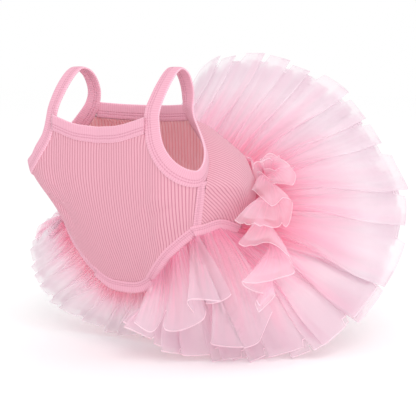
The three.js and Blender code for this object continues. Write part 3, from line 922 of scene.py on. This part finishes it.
# Between two pleats the hem is set back: where the notch starts and ends in a pleat, and
# how many steps deep it is
NOTCH = (0.80, 0.10, 1.7)
GATHERS_PER_PLEAT = 4
GATHER_HEIGHT = 1.3
GATHER_FADE = 1.3
GATHER_AT_HEM = 0.10
GATHER_UNEVEN = (1.3, 0.05)
# The net starts this share above its seam, and further above it near this row of the seam
START = -0.012
CORNER_START = {"more": -0.03, "row": 5.8, "span": 0.35}
LIFT_AT_SEAM = 0.25
# The deep colour reaches further down the net near this row: partly the thicker net low at the front,
# partly painted shade there
DEEP = {"more": 1.1, "row": 7.0, "span": 1.2}
STREAKS_APART = 40
HEM_WIDTH = 1.0
# The skirt is longer low on the wearer's left, from this row on
LONGER = {"more": 0.03, "row": 2.5, "span": 2}


def wander(k, rate, seed):
    """A steady but irregular variation from one pleat to the next."""
    return np.sin(rate * k + SEED_RATE * seed + rate / 3)


def near(row, place):
    return np.exp(-(((row - place["row"]) / place["span"]) ** 2))


def ply_grid(start_row, end_row, pleats, rows, lift, height, length, seed, step):
    """One layer of gathered net: fine gathers at the seam that open into flat pleats.

    Also gives its map: u counts pleats, v runs from 0 at the seam to 1 at the hem."""
    k = np.arange(pleats)
    widths = 1 + PLEAT_UNEVEN["width"] * wander(k, PLEAT_RATES["width"], seed)
    widths = widths / widths.sum()
    starts = np.concatenate([[0], np.cumsum(widths)])[:-1, None]
    corner = np.arange(len(KNIFE_PLEAT))
    q = np.arange(PLEAT_STEPS) / PLEAT_STEPS
    part, raised = (np.interp(q * corner[-1], corner, values) for values in np.transpose(KNIFE_PLEAT))
    plain = (starts + widths[:, None] * q[None]).ravel()
    knife = (starts + widths[:, None] * part[None]).ravel()
    depth = 1 + PLEAT_UNEVEN["depth"] * wander(k, PLEAT_RATES["depth"], seed)
    high = (depth[:, None] * raised[None]).ravel() * height
    notch_from, notch_to, notch_size = NOTCH
    notch = ((q > notch_from) | (q < notch_to)) * notch_size
    uneven = PLEAT_UNEVEN["length"] * wander(k, PLEAT_RATES["length"], seed)
    tab = (step * (uneven[:, None] - notch[None])).ravel()
    column = np.arange(pleats * PLEAT_STEPS)
    turn = column / PLEAT_STEPS * GATHERS_PER_PLEAT * 2 * math.pi
    most, rate = GATHER_UNEVEN
    gather = np.sin(turn + most * np.sin(column * rate + seed))
    t = np.linspace(0, 1, rows)
    folded = smooth_step(t * FOLDED_BY)
    along = plain[:, None] * (1 - folded)[None] + knife[:, None] * folded[None]
    row = start_row + (end_row - start_row) * along
    spot = start_row + (end_row - start_row) * plain
    begin = (START + CORNER_START["more"] * near(np.abs(spot), CORNER_START))[:, None]
    end = length(spot) + tab
    share = begin + (end[:, None] - begin) * t[None]
    rise = high[:, None] * (t**PLEAT_OPENING)[None] + lift * (LIFT_AT_SEAM + (1 - LIFT_AT_SEAM) * t[None])
    gathered = (1 - t) ** GATHER_FADE + GATHER_AT_HEM
    rise = rise + GATHER_HEIGHT * gather[:, None] * gathered[None]
    grid = over_skirt(row, share, rise)
    deep = 1 + DEEP["more"] * near(row, DEEP)
    u = np.broadcast_to((column / PLEAT_STEPS + STREAKS_APART * seed)[:, None], row.shape)
    return grid, np.stack([u, np.broadcast_to(t, row.shape) ** deep], -1)


def net_piece(name, grid, uv, materials):
    """A sheet of net, whose last row of faces is the hem and takes the second material."""
    columns, rows = grid.shape[:2]
    faces = grid_faces(columns, rows)
    slots = (np.arange(len(faces)) % (rows - 1) == rows - 2).astype(int)
    return new_mesh(name, grid.reshape(-1, 3), faces.tolist(), uv.reshape(-1, 2), materials, slots)


def with_hem(grid, uv):
    """Adds one narrow last row, the doubled edge of the net."""
    last = grid[:, -1] + unit(grid[:, -1] - grid[:, -2]) * HEM_WIDTH
    edge = np.stack([uv[:, -1, 0], np.ones(len(uv))], -1)
    return np.concatenate([grid, last[:, None]], 1), np.concatenate([uv, edge[:, None]], 1)


def net(name, node, grid, uv, rests_on, materials):
    grid, uv = with_hem(grid, uv)
    piece = net_piece(name, grid, uv, materials)
    finish_piece(piece, node)


def fan_length(row):
    return 1.0 + LONGER["more"] * smooth_step((row - LONGER["row"]) / LONGER["span"])


def shorter(share):
    """The length of a layer that reaches this share of the skirt's."""
    return lambda row: share * fan_length(row)


TULLE = (tulle, tulle_edge)
FAN_END = 6.05
FAN_ROWS = 18
# name, node, pleats, lift, height, share of the length, step of the tabs, seed
FAN_PLIES = (
    ("tutu_upper_net_1", "tutu_tier_upper", 14, 7.0, 1.0, 0.962, 0.040, 0.3),
    ("tutu_upper_net_2", "tutu_tier_upper", 19, 4.0, 1.0, 0.920, 0.020, 1.9),
    ("tutu_upper_net_3", "tutu_tier_upper", 16, 1.5, 1.1, 0.920, 0.025, 3.1),
    ("tutu_lower_net_1", "tutu_tier_lower", 18, -2.0, 1.2, 0.905, 0.020, 4.2),
    ("tutu_lower_net_2", "tutu_tier_lower", 17, -5.0, 1.3, 0.910, 0.025, 5.6),
    ("tutu_lower_net_3", "tutu_tier_lower", 19, -8.0, 1.5, 0.905, 0.020, 6.4),
)
for name, node, pleats, lift, height, share, step, seed in FAN_PLIES:
    grid, uv = ply_grid(-FAN_END, FAN_END, pleats, FAN_ROWS, lift, height, shorter(share), seed, step)
    net(name, node, grid, uv, "back_panel_cloth", TULLE)

RUFFLE_START = 5.93
RUFFLE_END = 11.0
RUFFLE_STEP = 0.03
RUFFLE_ROWS = 16
# The ruffle on the wearer's right has narrower and flatter pleats.
# name ending, pleats, lift, height, share of the length, seed
RUFFLE_PLIES = {
    "left": (
        ("net_1", 8, 3.0, 6.0, 0.96, 0.9),
        ("net_2", 9, -1.0, 5.0, 1.00, 2.2),
        ("net_3", 8, -5.0, 4.5, 0.98, 3.6),
    ),
    "right": (
        ("net_1", 14, 2.5, 2.2, 1.03, 1.9),
        ("net_2", 16, -0.5, 2.0, 0.99, 3.2),
        ("net_3", 15, -3.5, 2.0, 1.01, 4.6),
    ),
}
RUFFLE_SPANS = {"left": (RUFFLE_START, RUFFLE_END), "right": (-RUFFLE_END, -RUFFLE_START)}
RUFFLE_CLOTHS = {"left": (shaded_ruffle_net, ruffle_edge), "right": (backlit_far_net, tulle_edge)}
for side, plies in RUFFLE_PLIES.items():
    start, end = RUFFLE_SPANS[side]
    for ending, pleats, lift, height, share, seed in plies:
        sizes = (pleats, RUFFLE_ROWS, lift, height, shorter(share), seed, RUFFLE_STEP)
        grid, uv = ply_grid(start, end, *sizes)
        node = f"leg_ruffle_{side}"
        net(f"{node}_{ending}", node, grid, uv, f"leg_binding_{side}_cloth", RUFFLE_CLOTHS[side])

# The top folds of the left leg ruffle: the free edge of a shorter layer wanders over the skirt.
# seam row, hem row, hem share, hem height
TOP_FOLDS = (
    (7.0, 7.4, 0.62, 4),
    (7.3, 8.1, 0.79, 10),
    (7.9, 9.1, 0.75, 12),
    (8.0, 9.0, 0.70, 4),
    (8.0, 8.6, 0.50, 2),
    (8.1, 8.2, 0.41, 6),
    (8.2, 8.4, 0.40, 14),
    (8.6, 9.3, 0.30, 16),
    (8.8, 9.2, 0.55, 6),
    (8.8, 9.0, 0.50, 4),
    (9.0, 9.2, 0.53, 12),
    (9.5, 10.1, 0.58, 13),
    (9.6, 10.1, 0.43, 4),
    (10.1, 10.5, 0.70, 10),
    (10.9, 11.0, 0.75, 8),
)
FOLD_COLUMNS = 380
FOLD_ROWS = 16
# Roughly how many millimetres one row, and the whole length, of the skirt take here
MM_A_ROW = 12
MM_A_LENGTH = 60
# How far apart the gathers are, and how far one count of the net's streaks reaches
FOLD_GATHER = 3.9
FOLD_PLEAT = 30
FOLD_START = -0.01
FOLD_CLEAR = (2.0, 8)
FOLD_POWERS = {"bend": 0.9, "rise": 1.2, "gather": 1.5}


def fold_grid():
    curve = table_curve(TOP_FOLDS)
    seam_row, hem_row, hem_share, hem_height = curve(np.linspace(0, len(TOP_FOLDS) - 1, FOLD_COLUMNS)).T
    t = np.linspace(0, 1, FOLD_ROWS)
    turn = lengths_along(np.stack([seam_row * MM_A_ROW, hem_row * MM_A_ROW, hem_share * MM_A_LENGTH], -1))
    gather = np.sin(turn * 2 * math.pi / FOLD_GATHER)[:, None] * ((1 - t) ** FOLD_POWERS["gather"])[None]
    bend = t ** FOLD_POWERS["bend"]
    row = seam_row[:, None] * (1 - bend) + hem_row[:, None] * bend
    share = FOLD_START + (hem_share[:, None] - FOLD_START) * t
    clear, clearer = FOLD_CLEAR
    rise = clear + clearer * share + hem_height[:, None] * t ** FOLD_POWERS["rise"] + gather
    return over_skirt(row, share, rise), uv_grid(turn / FOLD_PLEAT, t)


fold_place = ("leg_ruffle_left_folds", "leg_ruffle_left")
net(*fold_place, *fold_grid(), "leg_binding_left_cloth", RUFFLE_CLOTHS["left"])

# The side frill: a strip whose sewn edge runs down the skirt and whose free edge swings
# from tip to tip. Its sewn edge: row, share
FRILL_SEAM = (
    (1.4, 0.14),
    (1.6, 0.13),
    (2.3, 0.11),
    (2.9, 0.12),
    (3.3, 0.07),
    (4.0, 0.08),
    (5.0, 0.05),
    (5.8, 0.17),
    (6.8, 0.32),
    (7.4, 0.48),
)
# Its free edge: row, share, height
FRILL_TIPS = (
    (3.4, -0.08, 4),
    (1.9, -0.04, 10),
    (1.2, 0.10, 12),
    (2.3, 0.06, 15),
    (3.7, -0.05, 19),
    (4.4, -0.04, 18),
    (3.2, 0.04, 8),
    (2.5, 0.10, 12),
    (3.4, 0.14, 22),
    (4.4, 0.20, 26),
    (4.7, 0.18, 24),
    (4.0, 0.05, 10),
    (4.9, -0.06, 24),
    (5.4, 0.06, 28),
    (5.0, 0.14, 20),
    (5.1, 0.20, 20),
    (6.4, 0.19, 28),
    (7.6, -0.06, 30),
    (5.9, 0.10, 12),
    (7.6, 0.07, 28),
    (6.9, 0.21, 30),
    (6.7, 0.35, 26),
    (6.8, 0.46, 21),
    (7.8, 0.28, 28),
    (7.4, 0.45, 16),
    (7.2, 0.50, 18),
    (7.6, 0.54, 22),
    (7.6, 0.52, 10),
)
LAST_TIP = len(FRILL_TIPS) - 1
FRILL_COLUMNS = 420
FRILL_ROWS = 10
FRILL_NET = (lit_frill_net, frill_edge)
# The sewn edge's clearance at the top of the skirt, and how much it grows down to the hem
FRILL_LIFT = (2, 11)
FRILL_BULGE = 0.15
TIP_ROUNDNESS = 0.4
# The length along the free edge that one count of the net's streaks takes
FRILL_PLEAT = 25
# name ending, share of the reach, added height, shift along the tips
FRILL_PLIES = (("net_1", 1.0, 0, 0), ("net_2", 0.8, 1.5, 0.6))
# On the wearer's right the frill stays this far down the skirt, clear of the back panel.
RIGHT_LEAST_SHARE = 0.08


def frill_tips(i):
    """The free edge between the tips, its corners a little rounded."""
    tips = np.arange(LAST_TIP + 1)
    straight = np.stack([np.interp(i, tips, values) for values in np.transpose(FRILL_TIPS)], -1)
    smooth = table_curve(FRILL_TIPS)(i)
    return (straight + (smooth - straight) * TIP_ROUNDNESS).T


def from_left(side, grid, uv):
    """On the wearer's right the columns run the other way, to keep the upper face up."""
    if side < 0:
        return grid[::-1], uv[::-1]
    return grid, uv


def frill_grid(side, size, reach, height, shift):
    """One layer of the frill; side is 1 on the wearer's left and -1 on the right."""
    i = np.linspace(0, LAST_TIP, FRILL_COLUMNS)
    root_row, root_share = table_curve(FRILL_SEAM)(i / LAST_TIP * (len(FRILL_SEAM) - 1)).T
    free_row, free_share, free_height = frill_tips(np.clip(i + shift, 0, LAST_TIP))
    if side < 0:
        free_share = np.maximum(free_share, RIGHT_LEAST_SHARE)
    root = over_skirt(side * root_row, root_share, FRILL_LIFT[0] + FRILL_LIFT[1] * root_share)
    free = over_skirt(side * free_row, free_share, free_height + height)
    free = root + (free - root) * size * reach
    t = np.linspace(0, 1, FRILL_ROWS)[None, :, None]
    far = np.linalg.norm(free - root, axis=-1)[:, None, None]
    lift = skirt_normal(side * root_row, root_share)[:, None]
    bulge = lift * far * FRILL_BULGE * np.sin(math.pi * t)
    grid = root[:, None] * (1 - t) + free[:, None] * t + bulge
    return from_left(side, grid, uv_grid(lengths_along(free) / FRILL_PLEAT, t.ravel()))


for side, sign, size in (("left", 1, 1.0), ("right", -1, 0.5)):
    for ending, *sizes in FRILL_PLIES:
        grid, uv = frill_grid(sign, size, *sizes)
        node = f"side_frill_{side}"
        net(f"{node}_{ending}", node, grid, uv, "back_panel_cloth", FRILL_NET)

# The rosette at the top of the frill: a strip wound up on itself, flaring outward.
ROSETTE_COLUMNS = 240
ROSETTE_ROWS = 9
ROSETTE_AT = {"row": 3.3, "share": 0.11, "height": 8.0}
ROSETTE_TURNS = 1.9
ROSETTE_RADIUS = (2.5, 14.5)
ROSETTE_HEIGHT = 13.0
ROSETTE_FLARE = 5.5
ROSETTE_OPENING = 1.6
ROSETTE_SQUASH = 0.85
ROSETTE_DROP = 0.3
ROSETTE_SINK = 0.5
# How much each varies along the strip, and at which rate
ROSETTE_DENTS = (0.16, 2.6)
ROSETTE_DENTS_START = 0.7
ROSETTE_LIP = (0.4, 3.7)
ROSETTE_CREST = (0.12, 5.3)


def rosette_grid(side, size):
    """The wound strip; side is 1 on the wearer's left and -1 on the right."""
    row, share, height = ROSETTE_AT["row"] * side, ROSETTE_AT["share"], ROSETTE_AT["height"]
    up = skirt_normal(row, share)
    down = unit(skirt_base(row, 1) - skirt_base(row, 0))
    across = np.cross(up, down)
    centre = skirt_base(row, share) + up * height
    turn = np.linspace(0, 1, ROSETTE_COLUMNS) * ROSETTE_TURNS * 2 * math.pi
    wound = turn / turn[-1]
    first, last = ROSETTE_RADIUS
    dent, dent_rate = ROSETTE_DENTS
    lip, lip_rate = ROSETTE_LIP
    crest, crest_rate = ROSETTE_CREST
    radius = first + (last - first) * wound
    radius = radius * (1 + dent * np.sin(dent_rate * turn + ROSETTE_DENTS_START))
    t = np.linspace(0, 1, ROSETTE_ROWS)[None]
    opening = ROSETTE_FLARE * t**ROSETTE_OPENING * (1 - lip + lip * np.sin(lip_rate * turn)[:, None])
    flare = radius[:, None] + opening
    tall = ROSETTE_HEIGHT * t * (1 - ROSETTE_DROP * wound[:, None])
    tall = tall * (1 + crest * np.sin(crest_rate * turn)[:, None]) - height * ROSETTE_SINK
    x = flare * np.cos(turn)[:, None] * size
    y = flare * np.sin(turn)[:, None] * size * ROSETTE_SQUASH
    grid = centre + down * x[..., None] + across * y[..., None] + up * tall[..., None]
    return from_left(side, grid, uv_grid(lengths_along(grid[:, -1]) / FRILL_PLEAT, t.ravel()))


for side, sign, size in (("left", 1, 1.0), ("right", -1, 0.8)):
    node = f"side_frill_{side}"
    net(f"{node}_rosette", node, *rosette_grid(sign, size), "back_panel_cloth", FRILL_NET)

# Stage

LOWEST_NODES = ("leg_ruffle_left", "leg_ruffle_right", "tutu_tier_lower")
FLOOR_GAP = 0.001
FLOOR_SIZE = 12
FLOOR_WHITE = (0.995, 0.995, 0.995, 1)
KEY_LIGHT = {"location": (1.1, -0.8, 1.0), "size": 0.8, "power": 9}
TARGET = (0.0, 0.097, -0.113)
CAMERA_LENS = 104
CAMERA_SENSOR = 36
CAMERA_LOCATION = (0.5876, -0.6551, 0.0042)
CAMERA_TURN = (83, 0, 38)
NET_LAYERS_SEEN = 40

low = min(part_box(node)[0].z for node in LOWEST_NODES)
bpy.ops.mesh.primitive_plane_add(size=FLOOR_SIZE, location=(0, 0, low - FLOOR_GAP))
floor = bpy.context.object
floor.name = "floor"
floor_material, _, floor_shader = new_material("floor_white", FLOOR_WHITE, roughness=1.0)
floor_shader.inputs["Specular IOR Level"].default_value = 0.0
floor.data.materials.append(floor_material)

world = bpy.data.worlds.new("world")
bpy.context.scene.world = world
world.use_nodes = True
background = world.node_tree.nodes["Background"]
background.inputs["Color"].default_value = WHITE
background.inputs["Strength"].default_value = 1.0

light = bpy.data.lights.new("key", "AREA")
light.size = KEY_LIGHT["size"]
light.energy = KEY_LIGHT["power"]
lamp = bpy.data.objects.new("key", light)
bpy.context.scene.collection.objects.link(lamp)
lamp.location = KEY_LIGHT["location"]
aim = Vector(TARGET) - Vector(KEY_LIGHT["location"])
lamp.rotation_euler = aim.to_track_quat("-Z", "Y").to_euler()

camera_data = bpy.data.cameras.new("camera")
camera_data.lens = CAMERA_LENS
camera_data.sensor_width = CAMERA_SENSOR
camera = bpy.data.objects.new("camera", camera_data)
bpy.context.scene.collection.objects.link(camera)
camera.location = CAMERA_LOCATION
camera.rotation_euler = [math.radians(angle) for angle in CAMERA_TURN]
bpy.context.scene.camera = camera

scene = bpy.context.scene
scene.view_settings.view_transform = "Standard"
scene.cycles.transparent_max_bounces = NET_LAYERS_SEEN
